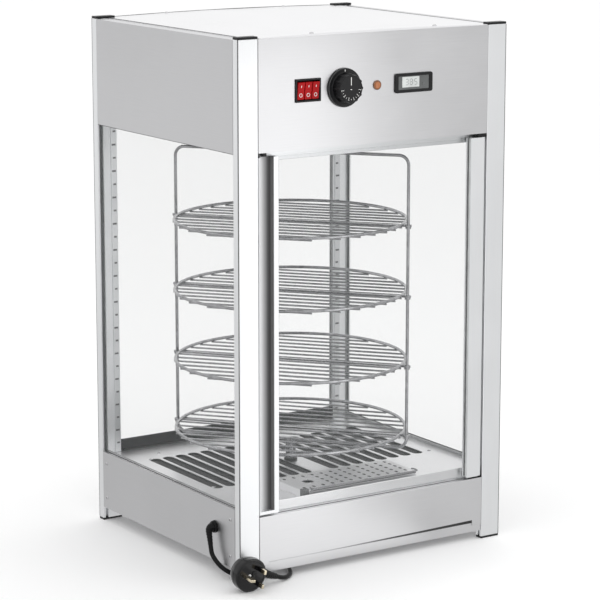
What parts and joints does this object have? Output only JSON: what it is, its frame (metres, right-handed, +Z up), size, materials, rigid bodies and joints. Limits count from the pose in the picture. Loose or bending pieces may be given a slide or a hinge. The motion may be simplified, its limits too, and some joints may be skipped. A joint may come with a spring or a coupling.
{
  "type": "hot food display case",
  "caption": "Glazed counter-top hot food cabinet: four posts, steel head with controls, slotted heated floor, water tray, hinged glass door and a turning wire carousel with round racks.",
  "frame": {"origin": "bottom centre of the cabinet's box, knob included, free cord and plug left out", "axes": "+Z up, door and controls face -Y, +X to the right seen from the front"},
  "size_m": [0.5082, 0.4859, 0.8107],
  "materials": {
    "anodised_aluminium": "satin anodised extrusion",
    "black_plastic": "matt moulded",
    "strip_steel": "plain",
    "head_steel": "brushed along the width",
    "lid_steel": "smooth, bright",
    "inner_steel": "plain",
    "white_plastic": "matt",
    "lamp_cover": "gloss",
    "base_steel": "brushed along the width",
    "floor_steel": "polished",
    "tray_lid_steel": "perforated sheet",
    "pane_glass": "clear",
    "heater_sheath": "oxidised tube",
    "motor_metal": "plain",
    "amber_lens": "translucent",
    "screw_steel": "bright",
    "cord_rubber": "matt black",
    "plug_brass": "bright",
    "seal_rubber": "matt",
    "rack_chrome": "bright plated wire",
    "red_rocker": "translucent gloss"
  },
  "bodies": {
    "case": {"post_front_left": "anodised_aluminium", "post_front_right": "anodised_aluminium", "post_rear_left": "anodised_aluminium", "post_rear_right": "anodised_aluminium", "post_end_caps": "black_plastic", "slotted_strips": "strip_steel", "control_panel": "head_steel", "top_panel_left": "head_steel", "top_panel_right": "head_steel", "top_panel_rear": "head_steel", "top_lid": "lid_steel", "ceiling_plate": "inner_steel", "ceiling_bush": "white_plastic", "ceiling_lamp": "lamp_cover", "door_header": "strip_steel", "door_hinge_brackets": "black_plastic", "door_catch": "black_plastic", "base_fascia": "base_steel", "base_panel_left": "base_steel", "base_panel_right": "base_steel", "base_panel_rear": "base_steel", "front_bottom_rail": "base_steel", "bottom_plate": "inner_steel", "floor_plate": "floor_steel", "floor_bush": "black_plastic", "side_glass_left": "pane_glass", "side_glass_right": "pane_glass", "rear_glass": "pane_glass", "rear_glass_rail": "black_plastic", "heating_elements": "heater_sheath", "gear_motor": "motor_metal", "terminal_block": "white_plastic", "thermostat_body": "motor_metal", "switch_bezel": "black_plastic", "pilot_lamp": "amber_lens", "thermometer": "black_plastic", "case_screws": "screw_steel", "cord_gland": "cord_rubber", "cord_lead": "cord_rubber", "cord_coil": "cord_rubber", "cord_tail": "cord_rubber", "plug_body": "cord_rubber", "plug_pins": "plug_brass"},
    "door": {"door_glass": "pane_glass", "door_handle": "anodised_aluminium", "door_hinge_stile": "anodised_aluminium", "door_seals": "seal_rubber"},
    "drive": {"drive_shaft": "screw_steel"},
    "carousel": {"rack_frame": "rack_chrome", "shelf_1": "rack_chrome", "shelf_2": "rack_chrome", "shelf_3": "rack_chrome", "shelf_4": "rack_chrome"},
    "knob": {"thermostat_knob": "black_plastic"},
    "rocker_left": {"rocker_left": "red_rocker"},
    "rocker_middle": {"rocker_middle": "red_rocker"},
    "rocker_right": {"rocker_right": "red_rocker"},
    "water_tray": {"tray_pan": "floor_steel"},
    "tray_lid": {"tray_lid": "tray_lid_steel"}
  },
  "joints": [
    {"name": "door_hinge", "type": "hinge", "parent": "case", "child": "door", "pos_m": [0.1975, -0.199, 0.3695], "axis": [0, 0, 1], "range_deg": [0, 105]},
    {"name": "carousel_turn", "type": "hinge", "parent": "case", "child": "drive", "pos_m": [-0.006, 0.018, 0.1], "axis": [0, 0, 1], "continuous": true},
    {"name": "carousel_lift", "type": "slide", "parent": "drive", "child": "carousel", "axis": [0, 0, 1], "range_m": [0, 0.01]},
    {"name": "thermostat_turn", "type": "hinge", "parent": "case", "child": "knob", "pos_m": [-0.058, -0.205, 0.728], "axis": [0, 1, 0], "range_deg": [0, 270]},
    {"name": "rocker_left_tilt", "type": "hinge", "parent": "case", "child": "rocker_left", "pos_m": [-0.1337, -0.2035, 0.728], "axis": [1, 0, 0], "range_deg": [-16, 0]},
    {"name": "rocker_middle_tilt", "type": "hinge", "parent": "case", "child": "rocker_middle", "pos_m": [-0.121, -0.2035, 0.728], "axis": [1, 0, 0], "range_deg": [-16, 0]},
    {"name": "rocker_right_tilt", "type": "hinge", "parent": "case", "child": "rocker_right", "pos_m": [-0.1083, -0.2035, 0.728], "axis": [1, 0, 0], "range_deg": [-16, 0]},
    {"name": "tray_lift", "type": "slide", "parent": "case", "child": "water_tray", "axis": [0, 0, 1], "range_m": [0, 0.008]},
    {"name": "tray_lid_lift", "type": "slide", "parent": "water_tray", "child": "tray_lid", "axis": [0, 0, 1], "range_m": [0, 0.008]}
  ]
}
